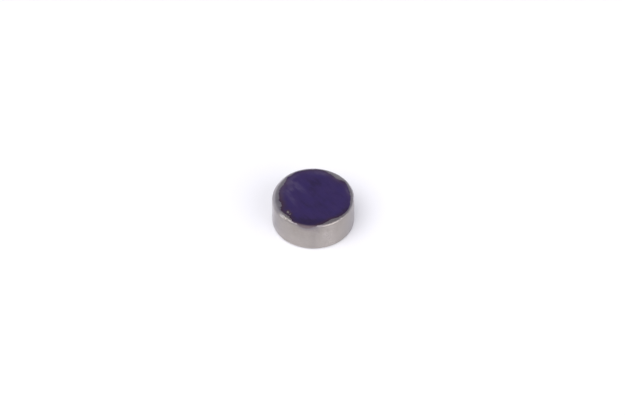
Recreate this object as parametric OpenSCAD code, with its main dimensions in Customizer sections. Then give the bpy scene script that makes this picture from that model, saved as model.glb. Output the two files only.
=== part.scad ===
// Disc magnet, 10 x 4 mm, with a film of marking paint on its upper pole face.
// The disc stands on its bare pole face: Z = 0 is that face, Z is the magnetic
// axis, and the origin is the centre of the face. Millimetres throughout.

/* [Magnet disc] */
// Diameter of the disc
disc_d = 10; // [4:0.5:20]
// Height of the disc from pole face to pole face
disc_h = 4; // [2:0.25:12]
// Radius of the tumbled edge around both pole faces
edge_r = 0.26; // [0.1:0.02:0.5]

/* [Pole paint] */
// Thickness of the paint film
film_t = 0.04; // [0.02:0.01:0.1]
// Bare metal between the film's mean edge and the start of the tumbled edge
bare_rim = 0.04; // [0:0.02:0.3]
// Swing of the film's brushed edge either side of its mean line
edge_waver = 0.03; // [0:0.01:0.06]

/* [Paint run] */
// Direction of the middle of the run that has crept over the edge, in degrees
run_at = 260; // [0:1:359]
// Width of the run where it leaves the pole face
run_w = 3.1; // [1:0.1:4]
// Depth of the run's tip on the wall, below the tumbled edge
run_drop = 0.14; // [0.04:0.02:0.14]

/* [Wear] */
// Depth of a full bite worn into the film's edge
bite_depth = 0.5; // [0.1:0.05:0.8]
// Mean diameter of the largest flake that has left the film
flake_d = 0.3; // [0.1:0.02:0.5]
// Distance of the largest flake inwards from the film's mean edge
flake_in = 0.7; // [0.5:0.05:1.5]

/* [Hidden] */

disc_r = disc_d / 2;
flat_r = disc_r - edge_r;
film_r = flat_r - bare_rim;

// Bites in the film's edge: direction and half width in degrees, and depth as
// a share of a full bite. Less than 0 is a swell, where the film stands out.
BITES = [
    [8, 21, 0.42],
    [49, 10, 0.95],
    [63, 8, 0.45],
    [110, 8, 0.12],
    [123, 5, 0.12],
    [133, 4, -0.2],
    [143, 4, 0.12],
    [151, 17, 0.88],
    [180, 16, 0.95],
    [198, 8, 0.85],
    [222, 12, 0.6],
    [241, 5, -0.66],
    [279, 8, -0.16],
    [302, 14, 0.5],
    [345, 9, -0.12]
];

// Flakes lost inside the film's edge: direction in degrees, distance inwards
// and diameter as shares of the largest one's, and the way that its long side
// points.
FLAKES = [
    [220, 1, 1, 110],
    [226, 0.97, 0.55, 40]
];

// The brushed edge swings as three ripples: [swings in a turn, start in
// degrees, share of the waver].
RIPPLES = [[7, 20, 1], [13, 75, 0.7], [29, 140, 0.4]];

OUTLINE_STEP = 2; // degrees between the points of the film's outline
FLAKE_STEP = 20;  // degrees between the points of a flake's outline
OVAL_SHARE = 0.3; // how far a flake is longer than it is wide
LOBE_SHARE = 0.2; // how far a flake's three lobes stand out
RUN_STEPS = 24;   // straight stretches along the run's lower edge
RUN_ROUND = 1.6;  // power of the run's lower edge: less is squarer
OVERLAP = 1;      // how far a cutting shape passes the surface that it cuts

$fn = 96;

function turn(a) = (a + 540) % 360 - 180;
function sum(list, i = 0) = i < len(list) ? list[i] + sum(list, i + 1) : 0;
function ripple(a) = edge_waver * sum([for (r = RIPPLES) r[2] * sin(r[0] * a + r[1])]);
function bite(a) =
    bite_depth * sum([for (b = BITES) b[2] * exp(-pow(turn(a - b[0]) / b[1], 2))]);
function outline_r(a) = film_r + ripple(a) - bite(a);

// Half section of the disc through its axis, grown outwards by a skin.
module disc_section(skin = 0) {
    translate([0, -skin]) square([flat_r, disc_h + 2 * skin]);
    translate([0, edge_r]) square([disc_r + skin, disc_h - 2 * edge_r]);
    for (z = [edge_r, disc_h - edge_r])
        translate([flat_r, z]) circle(r = edge_r + skin);
}

// A skin of paint all over the disc, which the film is cut from.
module skin_section() {
    difference() {
        disc_section(film_t);
        disc_section();
    }
}

module film_outline() {
    polygon([
        for (a = [0 : OUTLINE_STEP : 360 - OUTLINE_STEP])
            outline_r(a) * [cos(a), sin(a)]
    ]);
}

// The run as seen from in front of it: a shallow tongue that hangs from the
// painted face and ends on the wall.
module run_tongue() {
    tip = edge_r + run_drop;
    function drop(u) = tip * pow(max(0, cos(90 * u)), RUN_ROUND);
    polygon(concat(
        [for (i = [-RUN_STEPS : 2 : RUN_STEPS])
            [i / RUN_STEPS * run_w / 2, disc_h - drop(i / RUN_STEPS)]],
        [[run_w / 2, disc_h + OVERLAP], [-run_w / 2, disc_h + OVERLAP]]
    ));
}

module flake_cuts() {
    for (f = FLAKES)
        rotate(f[0]) translate([film_r - flake_in * f[1], 0, disc_h - OVERLAP]) rotate(f[3] - f[0])
            linear_extrude(2 * OVERLAP) polygon([
                for (a = [0 : FLAKE_STEP : 360 - FLAKE_STEP])
                    let (lobes = OVAL_SHARE * cos(2 * a) + LOBE_SHARE * cos(3 * a + f[3]))
                        flake_d * f[2] / 2 * (1 + lobes) * [cos(a), sin(a)]
            ]);
}

// Sintered magnet, ground flat, tumbled and nickel plated all over.
module magnet_disc() {
    color([0.67, 0.64, 0.62])
        rotate_extrude() disc_section();
}

// Dark violet marking paint on the upper pole face.
module pole_paint() {
    color([0.23, 0.18, 0.35])
        difference() {
            intersection() {
                rotate_extrude() skin_section();
                union() {
                    translate([0, 0, disc_h / 2])
                        linear_extrude(disc_h) film_outline();
                    rotate([90, 0, run_at + 90])
                        linear_extrude(disc_r + OVERLAP) run_tongue();
                }
            }
            flake_cuts();
        }
}

magnet_disc();
pole_paint();
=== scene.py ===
# Disc magnet, 10 x 4 mm, plated with satin nickel, with dark violet marking paint on its
# upper pole face. Metres; +Z is the magnetic axis and Z = 0 the bare lower pole face.
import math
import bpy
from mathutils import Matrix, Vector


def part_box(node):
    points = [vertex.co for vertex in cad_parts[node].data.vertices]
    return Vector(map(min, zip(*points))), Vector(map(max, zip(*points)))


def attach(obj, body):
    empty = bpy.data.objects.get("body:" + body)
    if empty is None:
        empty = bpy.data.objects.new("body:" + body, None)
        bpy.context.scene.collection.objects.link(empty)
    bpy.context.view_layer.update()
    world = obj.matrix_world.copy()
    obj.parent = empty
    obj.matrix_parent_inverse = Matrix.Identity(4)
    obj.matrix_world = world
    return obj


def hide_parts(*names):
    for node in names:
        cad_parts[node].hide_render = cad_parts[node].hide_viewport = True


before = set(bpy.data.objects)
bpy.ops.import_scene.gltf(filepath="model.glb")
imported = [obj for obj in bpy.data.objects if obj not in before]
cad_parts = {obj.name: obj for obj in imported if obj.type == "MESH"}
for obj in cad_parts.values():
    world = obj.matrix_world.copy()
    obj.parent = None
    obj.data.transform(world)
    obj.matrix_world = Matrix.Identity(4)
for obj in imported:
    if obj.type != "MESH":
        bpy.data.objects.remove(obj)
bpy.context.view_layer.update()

# ---- Magnet disc ------------------------------------------------------------------
# A block of sintered neodymium-iron-boron, ground flat on both pole faces, tumbled
# among ceramic chips until its edges are round, and barrel plated with satin nickel.
# It is one piece: the plating is its skin, with the nicks and pits of use in it.
from types import SimpleNamespace

import bpy
import numpy as np
from mathutils import Vector, noise

# Sizes are in millimetres. A direction is an angle about the axis in degrees, and a reach
# is a distance along the skin from the middle of the upper pole face.
MM = 0.001
disc_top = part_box("magnet_disc")[1]
disc_r = disc_top.x / MM
disc_h = disc_top.z / MM
edge_r = 0.26
flat_r = disc_r - edge_r
edge_end = flat_r + edge_r * math.pi / 2  # where the tumbled edge ends and the wall begins
edge_middle = (flat_r + edge_end) / 2
waist = edge_end + disc_h / 2 - edge_r  # the middle of the wall


def plain_skin(angle, reach):
    """The skin of a perfect disc. side is 1 above the waist and -1 below it, folded and depth
    are the reach and the distance down from the nearer pole face, and out and up tell how far
    the skin faces away from the axis and towards that face."""
    side = np.where(reach <= waist, 1, -1)
    folded = np.where(side > 0, reach, 2 * waist - reach)
    bend = np.clip((folded - flat_r) / edge_r, 0, math.pi / 2)
    out, up = np.sin(bend), np.cos(bend)
    radius = np.minimum(folded, flat_r) + edge_r * out
    depth = edge_r * (1 - up) + np.maximum(folded - edge_end, 0)
    level = np.where(side > 0, disc_h - depth, depth)
    cosine, sine = np.cos(np.radians(angle)), np.sin(np.radians(angle))
    return SimpleNamespace(
        angle=angle,
        reach=reach,
        side=side,
        folded=folded,
        out=out,
        up=up,
        radius=radius,
        depth=depth,
        level=level,
        points=np.stack([radius * cosine, radius * sine, level], axis=1),
        normals=np.stack([out * cosine, out * sine, up * side], axis=1),
    )


def apart(angle, other):
    """The signed angle from other to angle, in degrees."""
    return (angle - other + 180) % 360 - 180


def mark(offset, half, power=2):
    """1 at no offset, fading past the half width. A higher power has a flatter top."""
    return np.exp(-(np.abs(offset / half) ** power))


def marks_around(angle, marks, power=2):
    """The sum of marks, each by its direction, half width in degrees, and strength."""
    return sum(share * mark(apart(angle, at), half, power) for at, half, share in marks)


def round_mark(skin, at, spot, half, power=2):
    """A round mark on the skin, by the direction and reach of its middle and its half width."""
    along = np.radians(apart(skin.angle, at)) * skin.radius
    return mark(np.hypot(along, skin.reach - spot), half, power)


def mottle(points, per_mm, seed):
    """Soft noise from -1 to 1 at each point, in a cell size of 1 / per_mm."""
    shift = Vector((seed, 7.3 * seed, -3.1 * seed))
    return np.array([noise.noise(Vector(p).to_3d() * per_mm + shift) for p in points])


def new_piece(name, points, faces, sharp_deg):
    """A mesh object from points in millimetres, smooth but for creases over sharp_deg."""
    mesh = bpy.data.meshes.new(name)
    mesh.from_pydata((points * MM).tolist(), [], faces)
    mesh.update()
    mesh.shade_smooth()
    mesh.set_sharp_from_angle(angle=math.radians(sharp_deg))
    piece = bpy.data.objects.new(name, mesh)
    bpy.context.scene.collection.objects.link(piece)
    return piece


def keep_numbers(piece, name, values):
    """Keeps one number for each point of the mesh, for the material to read."""
    layer = piece.data.attributes.new(name, "FLOAT", "POINT")
    layer.data.foreach_set("value", values.astype(np.float32))


# What tumbling took off all over, and how much that wavers on the faces and on the edges.
SKIM = 0.002
WAVER = 0.004
EDGE_WAVER = 0.006
# What it took off the rims of the pole faces, how far in from the edge that starts, and
# where it took more: direction, half width in degrees, and share.
ROLL_OFF = 0.016
ROLL_WIDTH = 0.45
ROLLED_MORE = [(170, 40, 1.1)]
# How much it added to the radius of the edges: up to ROUNDER in a few swings a turn, which
# start elsewhere on the upper edge than on the lower, and more at the upper edge's left.
ROUNDER = 0.05
SWINGS = 3
UPPER_START = 250
LOWER_START = 40
ROUNDER_LEFT = [(183, 50, 0.22)]


def tumbled_off(skin):
    """How much tumbling took off the skin."""
    upper = skin.side > 0
    near_rim = np.clip((skin.folded - flat_r + ROLL_WIDTH) / ROLL_WIDTH, 0, 1)
    roll = ROLL_OFF * near_rim**2 * skin.up * (1 + marks_around(skin.angle, ROLLED_MORE))
    swing = SWINGS * skin.angle + np.where(upper, UPPER_START, LOWER_START)
    local_r = edge_r + ROUNDER * (0.5 + 0.5 * np.sin(np.radians(swing)))
    local_r += upper * marks_around(skin.angle, ROUNDER_LEFT, 4)
    across = skin.radius - disc_r + local_r
    down = local_r - skin.depth
    along = across * skin.out + down * skin.up
    rounder = along - np.sqrt(np.maximum(along**2 - across**2 - down**2 + local_r**2, 0))
    rounder *= (across > 0) & (down > 0)
    on_edge = np.minimum(skin.out, skin.up) ** 0.5
    waver = SKIM + WAVER * (1 + mottle(skin.points, 0.8, 1))
    edge_waver = EDGE_WAVER * on_edge * (1 + mottle(skin.points, 2.5, 2))
    return waver + roll + rounder + edge_waver


# Nicks in the tumbled edges: direction, 1 for the upper edge and -1 for the lower, length
# along the edge, half width across it, and depth.
NICKS = [
    (133, 1, 0.9, 0.22, 0.010),
    (47, 1, 0.5, 0.16, 0.010),
    (205, 1, 0.35, 0.14, 0.030),
    (228, 1, 0.2, 0.10, 0.022),
    (312, 1, 0.28, 0.12, 0.020),
    (338, 1, 0.16, 0.09, 0.018),
    (12, 1, 0.3, 0.12, 0.020),
    (95, 1, 0.22, 0.10, 0.020),
    (323, -1, 0.8, 0.20, 0.040),
    (251, -1, 0.22, 0.10, 0.020),
    (284, -1, 0.3, 0.12, 0.024),
    (208, -1, 0.4, 0.15, 0.028),
    (160, -1, 0.5, 0.16, 0.030),
    (104, -1, 0.25, 0.12, 0.022),
    (63, -1, 0.6, 0.18, 0.034),
    (20, -1, 0.2, 0.10, 0.020),
]
NICK_TEXTURE = 0.4  # how far a nick's depth varies along it
# Shallow dings: direction, reach, half width and depth.
DINGS = [
    (197, 4.24, 0.15, 0.016),
    (158, 4.52, 0.12, 0.010),
    (57, 4.46, 0.13, 0.012),
    (288, 5.9, 0.30, 0.006),
    (236, 7.6, 0.22, 0.007),
    (26, 6.4, 0.34, 0.008),
    (118, 7.2, 0.26, 0.008),
    (163, 5.7, 0.20, 0.007),
]


def knocked_in(skin):
    """How deep the nicks and dings are."""
    depth = np.zeros(len(skin.points))
    for at, face, length, width, deep in NICKS:
        along = np.radians(apart(skin.angle, at)) * disc_r
        nick = deep * mark(along, length / 2, 4) * mark(skin.folded - edge_middle, width)
        nick *= skin.side == face
        if nick.any():
            depth += nick * (1 + NICK_TEXTURE * mottle(skin.points, 6, 3 + at))
    for at, spot, half, deep in DINGS:
        depth += deep * round_mark(skin, at, spot, half, 4)
    return depth


# Rings of points from the upper pole to the lower, closer together where the skin bends:
# the reach where each stretch of them ends, and how many it has.
AROUND = 576
SOFT = 0.3  # how far past the plain edge the rounder places go
wall_end = 2 * waist - edge_end
STRETCHES = [
    (2.7, 3),
    (3.3, 1),
    (3.7, 1),
    (flat_r - SOFT, 7),
    (flat_r, 8),
    (edge_end, 12),
    (edge_end + SOFT, 7),
    (wall_end - SOFT, 36),
    (wall_end, 7),
    (2 * waist - flat_r, 12),
    (2 * waist - 0.15, 30),
]
rings = []
stretch_start = 0
for stretch_end, count in STRETCHES:
    rings += np.linspace(stretch_start, stretch_end, count + 1)[1:].tolist()
    stretch_start = stretch_end
turns = np.arange(AROUND) * 360 / AROUND
disc_skin = plain_skin(np.tile(turns, len(rings)), np.repeat(rings, AROUND))
knocks = knocked_in(disc_skin)

# Pits in the wall and in the lower face, where the plating went over pores.
PITS = 70
pores = np.random.default_rng(11)
for _ in range(PITS):
    at = pores.uniform(0, 360)
    spot = pores.uniform(flat_r - 1.5, 2 * waist - 1)
    half = pores.uniform(0.06, 0.13)
    deep = pores.uniform(0.004, 0.014)
    knocks += deep * round_mark(disc_skin, at, spot, half)

lost = tumbled_off(disc_skin) + knocks
points = disc_skin.points - disc_skin.normals * lost[:, None]
POLE_DISH = 0.004  # how far the middle of each pole face lies within it
poles = [[0, 0, disc_h - POLE_DISH], [0, 0, POLE_DISH]]
faces = []
for ring in range(len(rings) - 1):
    for turn in range(AROUND):
        here = ring * AROUND + turn
        beside = ring * AROUND + (turn + 1) % AROUND
        faces.append((here, here + AROUND, beside + AROUND, beside))
last = (len(rings) - 1) * AROUND
upper_pole = len(rings) * AROUND
for turn in range(AROUND):
    beside = (turn + 1) % AROUND
    faces.append((upper_pole, turn, beside))
    faces.append((upper_pole + 1, last + beside, last + turn))
disc = new_piece("magnet_disc_plated", np.concatenate([points, poles]), faces, 60)

# Upright bands of the wall painted brighter or darker, as painted highlights and shade of
# its reflections: direction, half width in degrees, and share.
PAINTED_BANDS = [
    (292, 10, 1.0),
    (269, 8, -0.45),
    (316, 12, 0.1),
    (334, 9, -0.3),
    (233, 9, -0.1),
    (211, 8, -0.35),
    (189, 8, 0.8),
    (166, 12, -0.4),
    (128, 16, 0.6),
    (96, 10, -0.4),
    (70, 9, 0.5),
    (38, 14, -0.5),
    (8, 12, 0.3),
]
# Stretches of the edges painted brighter or darker, as painted glints and shade: direction,
# 1 for the upper edge and -1 for the lower, half width in degrees, half width across the edge,
# and share.
PAINTED_EDGE_LIGHT = [
    (219, 1, 6, 0.23, 3.4),
    (209, 1, 6, 0.40, -0.8),
    (230, 1, 4, 0.28, -1.0),
    (238, 1, 9, 0.28, -0.7),
    (299, 1, 18, 0.28, -0.9),
    (358, 1, 9, 0.30, 1.9),
    (23, 1, 8, 0.33, 1.6),
    (48, 1, 7, 0.28, -0.8),
    (106, 1, 7, 0.28, 1.5),
    (144, 1, 8, 0.40, 1.6),
    (224, -1, 40, 0.28, 0.7),
    (297, -1, 12, 0.28, 0.5),
]
# Patches of the wall painted brighter or darker, as painted highlights and shade: direction,
# height, half width in degrees, half height, and share.
PAINTED_PATCHES = [
    (193, 2.6, 7, 0.9, 1.0),
    (202, 1.4, 4, 0.5, -0.8),
    (207, 0.5, 7, 0.35, 1.4),
    (222, 3.4, 6, 0.4, -0.6),
    (240, 1.3, 14, 0.8, 0.35),
    (261, 3.5, 5, 0.25, 0.6),
    (262, 1.9, 5, 1.0, 0.4),
    (277, 3.2, 4, 0.4, -0.7),
    (286, 2.5, 4, 0.4, 0.7),
    (291, 3.1, 4, 0.4, -0.7),
    (288, 1.0, 4, 0.4, -0.6),
    (300, 0.6, 5, 0.4, 0.4),
]
on_wall = disc_skin.out**6
# The painted shine of the plating: painted highlights above 0, and painted shade below it.
painted_shine = on_wall * marks_around(disc_skin.angle, PAINTED_BANDS)
for at, face, half, wide, share in PAINTED_EDGE_LIGHT:
    edge_light = mark(apart(disc_skin.angle, at), half) * mark(disc_skin.folded - edge_middle, wide, 4)
    painted_shine += share * edge_light * (disc_skin.side == face)
for at, middle, half, tall, share in PAINTED_PATCHES:
    painted_patch = mark(apart(disc_skin.angle, at), half) * mark(disc_skin.level - middle, tall)
    painted_shine += share * painted_patch * on_wall
# Away from the front, from this far round it, the nickel is tinted cooler.
FRONT = 270
COOL_FROM = 60
cool = 1 - mark(apart(disc_skin.angle, FRONT), COOL_FROM, 8)
for name, values, at_poles in (
    ("knocks", knocks, 0),
    ("painted_shine", painted_shine, 0),
    ("wall", on_wall, 0),
    ("cool", cool, 0),
    ("pole_face", disc_skin.up > 0.99, 1),
):
    keep_numbers(disc, name, np.append(values, [at_poles, at_poles]))
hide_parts("magnet_disc")
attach(disc, "root")


class Signal:
    """A socket of a material's nodes. Operators on it add Math nodes."""

    def __init__(self, tree, socket=None):
        self.tree = tree
        self.socket = socket

    def node(self, kind, settings=None, inputs=None, output=0):
        """Adds a node: its settings first, then the values or links of its sockets."""
        made = self.tree.nodes.new(kind)
        for name, value in (settings or {}).items():
            setattr(made, name, value)
        for key, value in (inputs or {}).items():
            if isinstance(value, Signal):
                self.tree.links.new(value.socket, made.inputs[key])
            else:
                made.inputs[key].default_value = value
        return Signal(self.tree, made.outputs[output] if made.outputs else None)

    def math(self, operation, *values):
        return self.node("ShaderNodeMath", {"operation": operation}, dict(enumerate(values)))

    def __add__(self, other):
        return self.math("ADD", self, other)

    def __sub__(self, other):
        return self.math("SUBTRACT", self, other)

    def __rsub__(self, other):
        return self.math("SUBTRACT", other, self)

    def __mul__(self, other):
        return self.math("MULTIPLY", self, other)

    __radd__ = __add__
    __rmul__ = __mul__

    def steps(self, low, high, start=0.0, end=1.0):
        """start below low and end above high, with a smooth passage between them."""
        return self.node(
            "ShaderNodeMapRange",
            {"interpolation_type": "SMOOTHSTEP"},
            {"Value": self, 1: low, 2: high, 3: start, 4: end},
        )

    def between(self, colour, other, way="MIX"):
        """The colour where this signal is 0, and where it is 1 the other, mixed in a way."""
        settings = {"data_type": "RGBA", "blend_type": way}
        return self.node("ShaderNodeMix", settings, {0: self, 6: colour, 7: other}, output=2)

    def grain(self, per_mm, detail=2.0, roughness=0.5, stretch=(1, 1, 1)):
        """Noise from 0 to 1 over a vector signal in millimetres."""
        spread = self.node(
            "ShaderNodeVectorMath", {"operation": "MULTIPLY"}, {0: self, 1: stretch}
        )
        return self.node(
            "ShaderNodeTexNoise",
            {},
            {"Vector": spread, "Scale": per_mm, "Detail": detail, "Roughness": roughness},
        )

    def kept(self, name):
        """The numbers that the mesh keeps under a name."""
        return self.node("ShaderNodeAttribute", {"attribute_name": name}, output="Fac")

    def place(self):
        """The place on the piece, in millimetres."""
        where = self.node("ShaderNodeTexCoord", output="Object")
        scale = {"operation": "SCALE"}
        return self.node("ShaderNodeVectorMath", scale, {0: where, "Scale": 1 / MM})


def new_finish(piece, name):
    """Gives the piece an empty material, and returns a signal to add its nodes with."""
    finish = bpy.data.materials.new(name)
    finish.use_nodes = True
    finish.node_tree.nodes.clear()
    piece.data.materials.append(finish)
    return Signal(finish.node_tree)


def layered(colour, layers):
    """The colour with others laid over it in turn, each where its signal is 1."""
    for where, other in layers:
        colour = where.between(colour, other)
    return colour


def close_finish(finish, looks, relief, deep):
    """Ends a material with a Principled shader of these looks, and a relief this deep."""
    bump = finish.node(
        "ShaderNodeBump", {}, {"Strength": 1.0, "Distance": deep * MM, "Height": relief}, "Normal"
    )
    shader = finish.node("ShaderNodeBsdfPrincipled", {}, {**looks, "Normal": bump})
    finish.node("ShaderNodeOutputMaterial", {}, {"Surface": shader})


nickel = new_finish(disc, "satin_nickel")
place = nickel.place()
height = nickel.node("ShaderNodeSeparateXYZ", {}, {0: place}, output="Z")
wall = nickel.kept("wall")
painted_shine_map = nickel.kept("painted_shine")
stained = nickel.kept("stain")
dented = nickel.kept("knocks")
# The plating's texture, from its broad blotches and upright bands, through clouds, orange
# peel, brush marks and the grinding lines of the pole faces, to frost and stray hairlines.
blotch = place.grain(0.9, 3, 0.6)
bands = place.grain(0.75, 2, 0.5, stretch=(1, 1, 0.12))
cloud = place.grain(3.2, 4, 0.6)
peel = place.grain(7, 2, 0.55)
brush = place.grain(5, 4, 0.6, stretch=(1, 1, 7))
ground = place.grain(3, 3, 0.6, stretch=(0.25, 9, 1))
frost = place.grain(38, 3, 0.6)
hairs = place.grain(2.2, 2, 0.5, stretch=(0.5, 0.5, 16)).steps(0.66, 0.72)
smears = place.grain(11, 3, 0.6).steps(0.56, 0.66)
# Dark specks, each in a cell of its own and of its own size.
cells = {"Vector": place, "Scale": 2.2}
speck_gap = nickel.node("ShaderNodeTexVoronoi", {}, cells, output="Distance")
speck_size = nickel.node("ShaderNodeTexVoronoi", {}, cells, output="Color").steps(0.45, 0.85)
specks = (speck_gap - speck_size * 0.12 + (frost - 0.5) * 0.06).steps(-0.01, 0.03, 1, 0)
plate = layered(
    (0.424, 0.387, 0.365, 1),  # plain satin nickel
    [
        (blotch.steps(0.25, 0.75), (0.382, 0.351, 0.335, 1)),
        # Painted shade: the wall is darker and browner towards its top, for its dimmer reflection
        # there.
        (height.steps(0.6, 3.4) * wall * 0.6, (0.328, 0.294, 0.263, 1)),
        (bands.steps(0.35, 0.65) * 0.25, (0.445, 0.412, 0.395, 1)),
        # Painted highlights and shade: the lighter places, then the brightest glints, then the
        # darker ones.
        (painted_shine_map.steps(0, 1) * 0.7, (0.475, 0.437, 0.415, 1)),
        (painted_shine_map.steps(1, 3) * (0.65 + brush * 0.6), (0.80, 0.76, 0.74, 1)),
        (painted_shine_map.steps(-1, 0, 1, 0) * 0.8, (0.300, 0.275, 0.268, 1)),
        (cloud.steps(0.40, 0.80) * 0.35, (0.450, 0.422, 0.411, 1)),
        (specks * 0.5, (0.17, 0.15, 0.15, 1)),
        # Darker in the nicks and pits, bright hairlines, and the film's violet stain.
        (dented.steps(0.006, 0.025) * 0.45, (0.26, 0.24, 0.245, 1)),
        (hairs * 0.25, (0.60, 0.57, 0.56, 1)),
        (stained.steps(0, 1) * (0.45 + smears * 0.4), (0.110, 0.090, 0.160, 1)),
    ],
)
plate = nickel.kept("cool").between(plate, (0.97, 0.99, 1.07, 1), "MULTIPLY")
gloss = 0.31 + (cloud - 0.5) * 0.14 + (brush - 0.5) * 0.10 - painted_shine_map * 0.03 + stained * 0.12
relief = peel * 1.1 + frost * 0.16 + brush * 0.35 - specks * 0.6 - hairs * 0.25
relief = relief + (ground - 0.5) * nickel.kept("pole_face") * 1.2
looks = {"Base Color": plate, "Metallic": 1.0, "Roughness": gloss}
close_finish(nickel, looks, relief, 0.0016)

# ---- Marking paint ----------------------------------------------------------------
# Dark violet marking paint, brushed on to tell one pole from the other. It has been
# dabbed on slantwise in one coat, has crept over the edge in one place, and has
# chipped and rubbed away along the rim since.
from mathutils.geometry import delaunay_2d_cdt

film_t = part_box("pole_paint")[1].z / MM - disc_h
bare_rim = 0.04  # bare metal between the film's mean edge and the tumbled edge
film_r = flat_r - bare_rim
# Bites in the film's edge: direction, half width in degrees, and share of the full depth.
# Less than 0 stands out.
bite_depth = 0.5
BITES = [
    (8, 21, 0.42),
    (49, 10, 0.95),
    (63, 8, 0.45),
    (110, 8, 0.12),
    (123, 5, 0.12),
    (133, 4, -0.2),
    (143, 4, 0.12),
    (151, 17, 0.88),
    (180, 16, 0.95),
    (198, 8, 0.85),
    (222, 12, 0.6),
    (241, 5, -0.66),
    (279, 8, -0.16),
    (302, 14, 0.5),
    (345, 9, -0.12),
]
# Ripples of the brushed edge: swings in a turn, start in degrees, and share of the waver.
edge_waver = 0.03
RIPPLES = [(7, 20, 1), (13, 75, 0.7), (29, 140, 0.4)]
# The run that has crept over the edge: direction, width, and how far down it ends.
run_at = 260
run_w = 3.1
run_tip = edge_r + 0.14
RUN_ROUND = 1.6  # power of the run's lower edge: less is squarer
RUN_EASE = 0.05  # how far down the run has fully taken over from the film's own edge


def film_reach(angle):
    """Reach of the film's edge."""
    ripple = sum(
        share * np.sin(np.radians(swings * angle + start)) for swings, start, share in RIPPLES
    )
    plain = film_r + edge_waver * ripple - bite_depth * marks_around(angle, BITES)
    turned = np.radians(apart(angle, run_at))
    across = np.clip(disc_r * np.sin(turned) / (run_w / 2), -1, 1)
    hang = run_tip * np.cos(across * math.pi / 2) ** RUN_ROUND * (np.cos(turned) > 0)
    round_edge = flat_r + edge_r * np.arccos(np.clip(1 - hang / edge_r, 0, 1))
    over = np.where(hang < edge_r, round_edge, edge_end + hang - edge_r)
    ease = np.clip(hang / RUN_EASE, 0, 1)
    return plain + np.maximum(over - plain, 0) * ease * ease * (3 - 2 * ease)


def on_disc(reach, angle):
    """Points of a flat map of the pole face, on which the skin is laid out from its centre."""
    return np.stack([reach * np.cos(np.radians(angle)), reach * np.sin(np.radians(angle))], axis=1)


# The ragged edge: it is frayed a little all round and most at the left, in rags of two
# sizes, each by its height, how many there are in a millimetre, and a seed.
FRAYED = 0.35
FRAYED_LEFT = [(185, 50, 1)]
RAGS = [(0.04, 3.2, 31), (0.03, 8, 32)]
RAG_R = 4.6
FINE_NIBBLES = 130
# Broader nibbles: direction, half width in degrees, and depth. Less than 0 stands out.
NIBBLES = [
    (130, 7, 0.05),
    (160, 5, 0.06),
    (199, 4, 0.07),
    (276, 5, -0.05),
    (300, 7, 0.06),
]
DRAWN_IN = 0.012  # how far the coat has drawn in as it dried
OUTLINE = 900
outline_angle = np.arange(OUTLINE) * 360 / OUTLINE
rag_line = on_disc(RAG_R, outline_angle)
frayed = marks_around(outline_angle, FRAYED_LEFT) + FRAYED
rag = frayed * sum(size * mottle(rag_line, per_mm, seed) for size, per_mm, seed in RAGS)
nibbles = np.random.default_rng(23)
for _ in range(FINE_NIBBLES):
    at = nibbles.uniform(0, 360)
    half = nibbles.uniform(0.5, 1.8)
    deep = nibbles.uniform(0.01, 0.09)
    rag -= frayed * deep * mark(apart(outline_angle, at), half, 3)
rag -= marks_around(outline_angle, NIBBLES)
outline_reach = film_reach(outline_angle) + rag - DRAWN_IN
outline = on_disc(outline_reach, outline_angle)

# Flakes that have left the film: direction, distance in from the film's mean edge and
# diameter as shares of the largest one's, and the way that the long side points.
flake_d = 0.3
flake_in = 0.7
FLAKES = [(220, 1, 1, 110), (226, 0.97, 0.55, 40)]
# How far a flake's outline stands out: in 2 lobes as an oval, in 3, and in 7 as chips.
OVAL_SHARE = 0.3
LOBE_SHARE = 0.2
CHIP_SHARE = 0.08
around = np.arange(0, 360, 12)
holes = []
for at, inward, share, long_way in FLAKES:
    lobes = OVAL_SHARE * np.cos(np.radians(2 * around))
    lobes += LOBE_SHARE * np.cos(np.radians(3 * around + long_way))
    lobes += CHIP_SHARE * np.sin(np.radians(7 * around + at))
    centre = on_disc(np.array([film_r - flake_in * inward]), np.array([at]))
    holes.append(centre + on_disc(flake_d * share / 2 * (1 + lobes), around + long_way))


def inside(spots, loop):
    """Which spots lie inside a closed loop."""
    found = np.zeros(len(spots), bool)
    for (x0, y0), (x1, y1) in zip(loop, np.roll(loop, -1, axis=0)):
        crosses = (y0 > spots[:, 1]) != (y1 > spots[:, 1])
        slope = (x1 - x0) / (y1 - y0 if y1 != y0 else 1)
        found ^= crosses & (spots[:, 0] < x0 + slope * (spots[:, 1] - y0))
    return found


def gap_to(spots, loop):
    """Distance from each spot to the nearest stretch of a closed loop."""
    ahead = np.roll(loop, -1, axis=0) - loop
    nearest = np.full(len(spots), 1e9)
    for start, step in zip(loop, ahead):
        offset = spots - start
        share = np.clip(offset @ step / max(step @ step, 1e-12), 0, 1)
        nearest = np.minimum(nearest, np.hypot(*(offset - share[:, None] * step).T))
    return nearest


# Spots of the film's mesh: rows that follow its edge, a field of even triangles within
# them, and rows around the flakes.
EDGE_ROWS = (0.006, 0.015, 0.03, 0.05, 0.08, 0.115, 0.155)
FLAKE_ROWS = (0.01, 0.025, 0.05)
FLAKE_R = 0.12
FLAKE_CLEAR = 0.02  # kept free of other spots
FIELD = 0.056  # side of the field's triangles
FIELD_REACH = 1.3  # of the disc's radius, so that the field goes past the run's tip
ROW_STEP = 0.866  # distance between rows of even triangles, as a share of their side
spots = [on_disc(outline_reach - row, outline_angle) for row in EDGE_ROWS]
count = int(disc_r * FIELD_REACH / FIELD)
column, line = np.meshgrid(np.arange(-count, count + 1), np.arange(-count, count + 1))
field = np.stack([(column + 0.5 * (line % 2)).ravel(), ROW_STEP * line.ravel()], axis=1) * FIELD
field = field[inside(field, outline)]
field = field[gap_to(field, outline[::3]) > EDGE_ROWS[-1] + FIELD * 0.6]
spots = np.concatenate([*spots, field])
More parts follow.
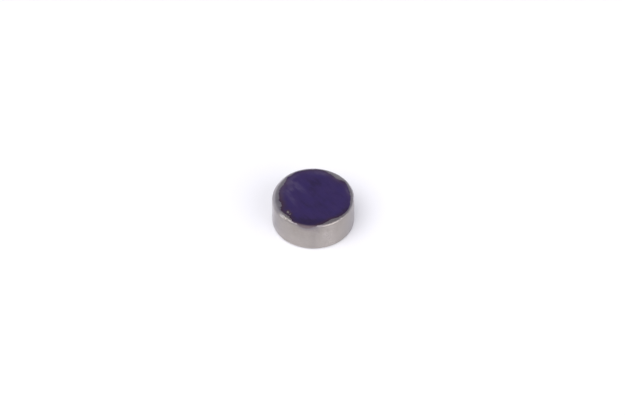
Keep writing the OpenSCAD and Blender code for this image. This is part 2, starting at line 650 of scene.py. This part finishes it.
for hole in holes:
    spots = spots[~inside(spots, hole)]
    spots = spots[gap_to(spots, hole) > FLAKE_CLEAR]
    middle = hole.mean(axis=0)
    rows_out = [middle + (hole - middle) * (1 + row / FLAKE_R) for row in FLAKE_ROWS]
    spots = np.concatenate([spots, *rows_out])

# The mesh itself: triangles between the film's outline, its flakes' outlines and the spots.
loops = [outline, *holes]
seams = []
first = 0
for loop in loops:
    seams += [(first + k, first + (k + 1) % len(loop)) for k in range(len(loop))]
    first += len(loop)
everything = np.concatenate([*loops, spots])
laid = delaunay_2d_cdt([Vector(p) for p in everything.tolist()], seams, [], 0, 1e-7, True)
flat = np.array([tuple(p) for p in laid[0]])
triangles = np.array(laid[2])
middles = flat[triangles].mean(axis=1)
kept = inside(middles, outline)
for hole in holes:
    kept &= ~inside(middles, hole)
triangles = triangles[kept]

outer_gap, *hole_gaps = [gap_to(flat, loop) for loop in loops]
rim_gap = np.minimum.reduce([outer_gap, *hole_gaps])
on_rim = rim_gap < 1e-5
film_skin = plain_skin(np.degrees(np.arctan2(flat[:, 1], flat[:, 0])), np.hypot(*flat.T))
lost = tumbled_off(film_skin) + knocked_in(film_skin)
base = film_skin.points - film_skin.normals * lost[:, None]


def along_and_across(spots, way):
    """How far flat spots lie along a direction, and to the left of it."""
    way = math.radians(way)
    along = spots @ [math.cos(way), math.sin(way)]
    across = spots @ [-math.sin(way), math.cos(way)]
    return along, across


# The slantwise strokes of the brush, which wander a little and come and go.
SLANT = -52
long_way, cross_way = along_and_across(flat, SLANT)
cross_way += 0.3 * mottle(flat, 0.45, 40)
stroke = np.stack([long_way * 0.4, cross_way * 1.7], axis=1)
strokes = mottle(stroke, 1, 41) * (0.6 + 0.6 * mottle(flat, 0.5, 44))
bristles = 1 + 0.55 * mottle(stroke, 3.6, 45) + 0.3 * mottle(stroke, 8, 46)
# How thin the coat is, from 0 to 1, first all over and then in dabs: place, half length and
# half width, way of the long side in degrees, and how much thinner. Less than 0 is thicker.
# The thinner dabs at the left are lighter in colour too, which partly serves as a painted sheen.
DABS = [
    (-3.1, 0.9, 0.9, 0.5, 88, 0.28),
    (-2.7, 1.4, 0.6, 0.3, -50, 0.35),
    (-4.0, 1.4, 0.5, 0.25, 75, 0.55),
    (-1.8, 1.7, 1.3, 0.45, -50, 0.55),
    (-2.4, -0.6, 1.2, 0.5, -62, 0.36),
    (-3.0, 2.5, 0.5, 0.35, -50, 0.75),
    (-3.05, -2.5, 0.35, 0.30, -40, 0.70),
    (-3.9, 0.6, 1.6, 0.35, 88, 0.60),
    (-0.2, 3.9, 1.6, 0.5, -8, 0.15),
    (-1.7, 0.5, 0.6, 0.35, -50, -0.15),
    (0.5, 2.2, 1.1, 0.8, -65, -0.22),
    (-1.2, -1.2, 1.1, 0.5, -52, -0.18),
    (-0.2, -4.3, 2.6, 0.5, 2, -0.60),
    (-2.5, -3.6, 0.9, 0.4, -35, -0.60),
    (3.4, -2.9, 1.4, 0.4, 48, -0.35),
    (4.1, -0.8, 1.4, 0.3, 80, -0.10),
    (4.05, 0.9, 1.3, 0.40, 102, 0.22),
    (1.9, -2.6, 1.2, 0.8, -50, -0.10),
    (1.6, 1.2, 1.6, 0.5, -50, 0.12),
    (4.2, 0.9, 0.7, 0.16, 102, 0.45),
    (1.2, 4.0, 1.0, 0.35, 162, 0.65),
    (2.8, 3.15, 0.8, 0.30, 135, 0.65),
    (-2.6, 3.2, 0.9, 0.30, 40, 0.50),
    (-3.75, 1.9, 0.7, 0.25, 62, 0.45),
]
thin = 0.3 + 0.24 * strokes + 0.10 * mottle(stroke, 3, 42) + 0.08 * mottle(flat, 1.6, 43)
for x, y, length, width, way, share in DABS:
    along, across = along_and_across(flat - [x, y], way)
    thin += share * bristles * mark(along, length) * mark(across, width)
thin = np.clip(thin, 0, 1)

# The coat's thickness. It has a bead a little way in from its edge, where it rounds down to
# the metal, and over the tumbled edge it thins out.
FULL_COAT = 0.034
THINNING = 0.013
COAT_WAVER = 0.002
BEAD = 0.008
BEAD_IN = 0.13
BEAD_HALF = 0.08
LIP = 0.06  # how far the film's edge takes to round down
THINS_FROM = 0.1  # how far in from the tumbled edge that starts
THINS_OVER = 0.62
THINNED_OUT = 0.5  # share of the thickness that is lost at its end
SUNK = 0.004  # how far the film's underside keeps in the plating
coat = FULL_COAT - THINNING * thin + COAT_WAVER * mottle(flat, 4, 43)
over_edge = np.clip((film_skin.reach - flat_r + THINS_FROM) / THINS_OVER, 0, 1)
coat = (coat + BEAD * mark(rim_gap - BEAD_IN, BEAD_HALF)) * (1 - THINNED_OUT * over_edge)
coat *= np.sqrt(1 - (1 - np.clip(rim_gap / LIP, 0, 1)) ** 2)
coat = np.minimum(coat, film_t)
top = base + film_skin.normals * np.where(on_rim, -SUNK, coat)[:, None]
# The underside shares the points of the rims with the top, and faces the plating.
inner = np.flatnonzero(~on_rim)
under = (base - film_skin.normals * SUNK)[inner]
under_index = np.arange(len(flat))
under_index[inner] = len(flat) + np.arange(len(inner))
faces = triangles.tolist() + under_index[triangles][:, ::-1].tolist()
film = new_piece("pole_paint_film", np.concatenate([top, under]), faces, 50)

# Where metal dust and handling have dulled the film along its edge, and where they have faded
# it: direction, half width in degrees, share, and how far in from the edge. Around the flakes
# that reaches less far in.
DULLED = [
    (280, 52, 0.62, 0.42),
    (203, 32, 0.62, 0.62),
    (35, 8, 0.4, 0.5),
    (110, 60, 0.25, 0.3),
    (10, 70, 0.08, 0.3),
]
MOST_DULLED = 0.75
FADED = [
    (75, 75, 0.5, 0.5),
    (175, 35, 0.45, 0.5),
]
FLAKE_SHRINK = 1.7
wear_gap = np.minimum.reduce([outer_gap, *(FLAKE_SHRINK * gap for gap in hole_gaps)])


def worn_along(stretches):
    """How worn the film is along the given stretches of its edge."""
    return sum(
        share * mark(apart(film_skin.angle, at), half, 4) * mark(wear_gap, width)
        for at, half, share, width in stretches
    )


for name, values in (
    ("thin", thin),
    ("over_edge", over_edge),
    ("dulled", np.clip(worn_along(DULLED), 0, MOST_DULLED)),
    ("faded", worn_along(FADED)),
):
    keep_numbers(film, name, np.concatenate([values, values[inner]]))
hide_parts("pole_paint")
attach(film, "root")

# The stain that the worn film has left on the plating around it: how far it spreads, where it
# spreads further, by direction, half width in degrees and distance, and the reaches that it is
# worked out between.
STAIN_SPREAD = 0.18
SPREAD_MORE = [(290, 45, 0.24), (198, 22, 0.2)]
STAIN_FROM = 3.5
STAIN_TO = 5.8
near_film = np.flatnonzero((disc_skin.reach > STAIN_FROM) & (disc_skin.reach < STAIN_TO))
near_angle = disc_skin.angle[near_film]
near_map = on_disc(disc_skin.reach[near_film], near_angle)
spread = STAIN_SPREAD + marks_around(near_angle, SPREAD_MORE, 4)
stain = np.zeros(len(disc.data.vertices))
stain[near_film] = np.exp(-gap_to(near_map, outline) / spread)
keep_numbers(disc, "stain", stain)

paint = new_finish(film, "violet_marking_paint")
place = paint.place()
thinned_and_sheen = paint.kept("thin")
laid_bare = paint.kept("over_edge").steps(0, 1) * 0.85
# Clouds in the colour, the ridges that the brush has left, and fine grain and dust.
cloud = place.grain(0.55, 3, 0.6)
fine = place.grain(9, 3, 0.6)
dust = place.grain(30, 2, 0.6)
turned = {"Vector": place, "Angle": -math.radians(SLANT)}
brushed = paint.node("ShaderNodeVectorRotate", {"rotation_type": "Z_AXIS"}, turned)
ridges = brushed.grain(1.0, 4, 0.6, stretch=(0.9, 9, 1))
colour = layered(
    (0.015, 0.007, 0.040, 1),  # the paint where it lies thickest
    [
        # Thinner coat is lighter: partly the paint's own colour, partly a painted sheen for the
        # soft reflection across its left.
        (thinned_and_sheen.steps(0, 0.35), (0.0244, 0.0122, 0.0722, 1)),
        (thinned_and_sheen.steps(0.3, 1), (0.056, 0.041, 0.103, 1)),
        (cloud.steps(0.35, 0.7) * 0.35, (0.019, 0.011, 0.086, 1)),
        ((ridges - 0.5).steps(0, 0.3) * 0.2, (0.066, 0.052, 0.118, 1)),
        (paint.kept("faded"), (0.050, 0.031, 0.048, 1)),
        (paint.kept("dulled").steps(0, 1), (0.031, 0.014, 0.023, 1)),
        # Over the edge the coat is so thin that the plating shows through.
        (laid_bare, (0.26, 0.21, 0.215, 1)),
    ],
)
sheen = 0.54 + (fine - 0.5) * 0.14 + (ridges - 0.5) * 0.16 + thinned_and_sheen * 0.05
relief = fine * 0.7 + dust * 0.25 + ridges * 1.2
looks = {
    "Base Color": colour,
    "Metallic": laid_bare,
    "Roughness": sheen,
    "Specular IOR Level": 0.2,
}
close_finish(paint, looks, relief, 0.002)

# ---- Floor ------------------------------------------------------------------------
# A plain white studio floor. It takes the magnet's shadow, and adds a little light of
# its own to what the eye and the plating see, so that it stands as plain white.
FLOOR_HALF = 3.0
FLOOR_DROP = 0.01 * MM  # keeps it clear of the lower pole face
corners = [(-1, -1), (1, -1), (1, 1), (-1, 1)]
floor_points = [(x * FLOOR_HALF, y * FLOOR_HALF, -FLOOR_DROP) for x, y in corners]
floor_mesh = bpy.data.meshes.new("floor")
floor_mesh.from_pydata(floor_points, [], [(0, 1, 2, 3)])
floor = bpy.data.objects.new("floor", floor_mesh)
bpy.context.scene.collection.objects.link(floor)
card = new_finish(floor, "white_floor")
eye, plating, glass = [
    card.node("ShaderNodeLightPath", output=f"Is {kind} Ray")
    for kind in ("Camera", "Glossy", "Transmission")
]
seen = card.math("MAXIMUM", card.math("MAXIMUM", eye, plating), glass)
matt = card.node("ShaderNodeBsdfDiffuse", {}, {"Color": (0.80, 0.80, 0.84, 1)})
glow = card.node("ShaderNodeEmission", {}, {"Color": (1, 1, 1, 1), "Strength": seen * 0.06})
both = card.node("ShaderNodeAddShader", {}, {0: matt, 1: glow})
card.node("ShaderNodeOutputMaterial", {}, {"Surface": both})

# ---- Light ------------------------------------------------------------------------
# Two broad soft lamps in front of the magnet, the stronger high at its left and the
# weaker lower at its right, in a room that is white along the horizon, where it turns a
# little blue behind the magnet, and dim above.

# Name, direction and height of the lamp's middle and its width in degrees, how bright it is
# to look at, and colour.
LAMPS = [
    ("lamp_left", 224, 60, 60, 2.7, (1.0, 0.99, 0.97)),
    ("lamp_right", 319, 31, 52, 1.95, (1.0, 0.99, 0.975)),
]
for name, azimuth, height, wide, glare, colour in LAMPS:
    lamp = bpy.data.lights.new(name, "SUN")
    lamp.angle = math.radians(wide)
    lamp.energy = glare * math.pi * math.sin(lamp.angle / 2) ** 2
    lamp.color = colour
    holder = bpy.data.objects.new(name, lamp)
    bpy.context.scene.collection.objects.link(holder)
    azimuth, height = math.radians(azimuth), math.radians(height)
    level = math.cos(height)
    towards = Vector((math.cos(azimuth) * level, math.sin(azimuth) * level, math.sin(height)))
    holder.rotation_euler = towards.to_track_quat("Z", "Y").to_euler()

room = bpy.data.worlds.new("room")
bpy.context.scene.world = room
room.use_nodes = True
room.node_tree.nodes.clear()
air = Signal(room.node_tree)
direction = air.node("ShaderNodeTexCoord", output="Generated")
behind = air.node("ShaderNodeSeparateXYZ", {}, {0: direction}, output="Y")
climb = air.node("ShaderNodeSeparateXYZ", {}, {0: direction}, output="Z")
walls = behind.steps(-0.35, 0.55).between((0.28, 0.275, 0.31, 1), (0.36, 0.355, 0.39, 1))
horizon = behind.steps(-0.1, 0.6).between((1.0, 1.0, 1.0, 1), (0.955, 0.972, 1.055, 1))
sky = climb.steps(0.2, 0.72).between(horizon, walls)
glow = air.node("ShaderNodeBackground", {}, {"Color": sky, "Strength": 1.0})
air.node("ShaderNodeOutputWorld", {}, {"Surface": glow})
bpy.context.scene.view_settings.view_transform = "Standard"

# ---- Camera -----------------------------------------------------------------------
# A long lens from well above the magnet, turned to its plain front, and far enough off to
# leave it small in a wide white frame.
RISE = math.radians(46.2)
DISTANCE = 422.4 * MM
lens = bpy.data.cameras.new("camera")
lens.lens = 200
lens.sensor_width = 36
lens.clip_start = 0.02
lens.clip_end = 8
camera = bpy.data.objects.new("camera", lens)
bpy.context.scene.collection.objects.link(camera)
bpy.context.scene.camera = camera
aim = Vector((-0.085, 0, disc_h / 2 + 0.13)) * MM
away = Vector((0, -math.cos(RISE), math.sin(RISE)))
camera.location = aim + away * DISTANCE
camera.rotation_euler = away.to_track_quat("Z", "Y").to_euler()
